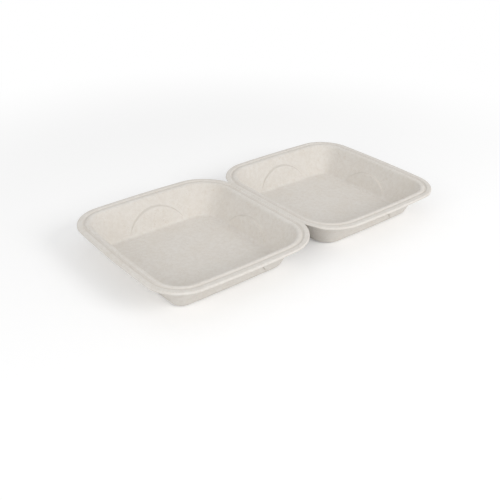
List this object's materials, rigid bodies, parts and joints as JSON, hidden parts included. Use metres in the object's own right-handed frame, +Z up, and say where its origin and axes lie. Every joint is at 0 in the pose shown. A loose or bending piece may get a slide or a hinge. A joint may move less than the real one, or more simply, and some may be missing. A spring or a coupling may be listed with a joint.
{
  "type": "bagasse clamshell container",
  "caption": "Moulded bagasse clamshell food container, opened flat: a shallow base tray and a matching lid joined along a folding hinge, with arched wall panels and a turned rim.",
  "frame": {"origin": "on the table, under the middle of the fold", "axes": "+X from the fold towards the front edge of the open lid, +Y along the fold, +Z up"},
  "size_m": [0.452, 0.236, 0.0405],
  "materials": {
    "bagasse_pulp": "matte pressed fibre, warm off-white, smooth on the food side and screen-marked outside"
  },
  "bodies": {
    "base": {"base_tray": "bagasse_pulp"},
    "lid": {"lid": "bagasse_pulp"}
  },
  "joints": [
    {"name": "lid_fold", "type": "hinge", "parent": "base", "child": "lid", "pos_m": [0, 0, 0.04065], "axis": [0, -1, 0], "range_deg": [0, 179.6]}
  ]
}
